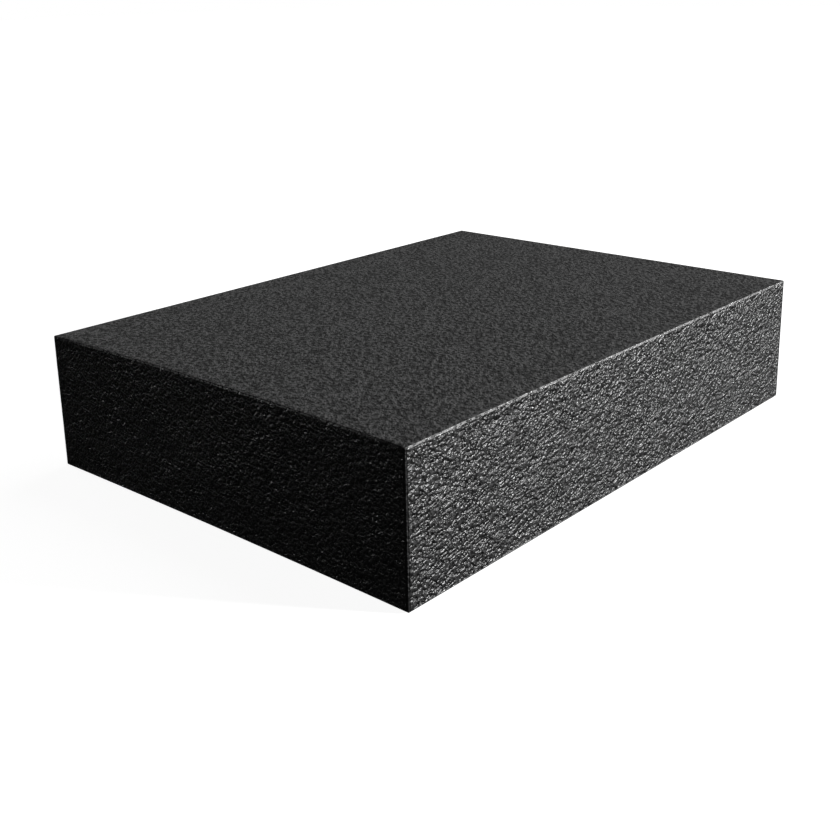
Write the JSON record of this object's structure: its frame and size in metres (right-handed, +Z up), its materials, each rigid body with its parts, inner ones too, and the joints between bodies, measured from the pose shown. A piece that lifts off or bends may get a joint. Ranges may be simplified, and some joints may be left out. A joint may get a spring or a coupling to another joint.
{
  "type": "foam positioning block",
  "caption": "Flat rectangular block of black closed-cell foam that props, spaces or levels what is set on or against it on a bench or desk.",
  "frame": {"origin": "centre of the underside, on the surface that the block rests on", "axes": "+X along the length, +Y along the width from the bright long side to the back, +Z up through the thickness"},
  "size_m": [0.2413, 0.1778, 0.052],
  "materials": {
    "foam": "black closed-cell polyethylene foam with a fine crinkled, satin cut surface"
  },
  "bodies": {
    "root": {"foam_block": "foam"}
  },
  "joints": []
}
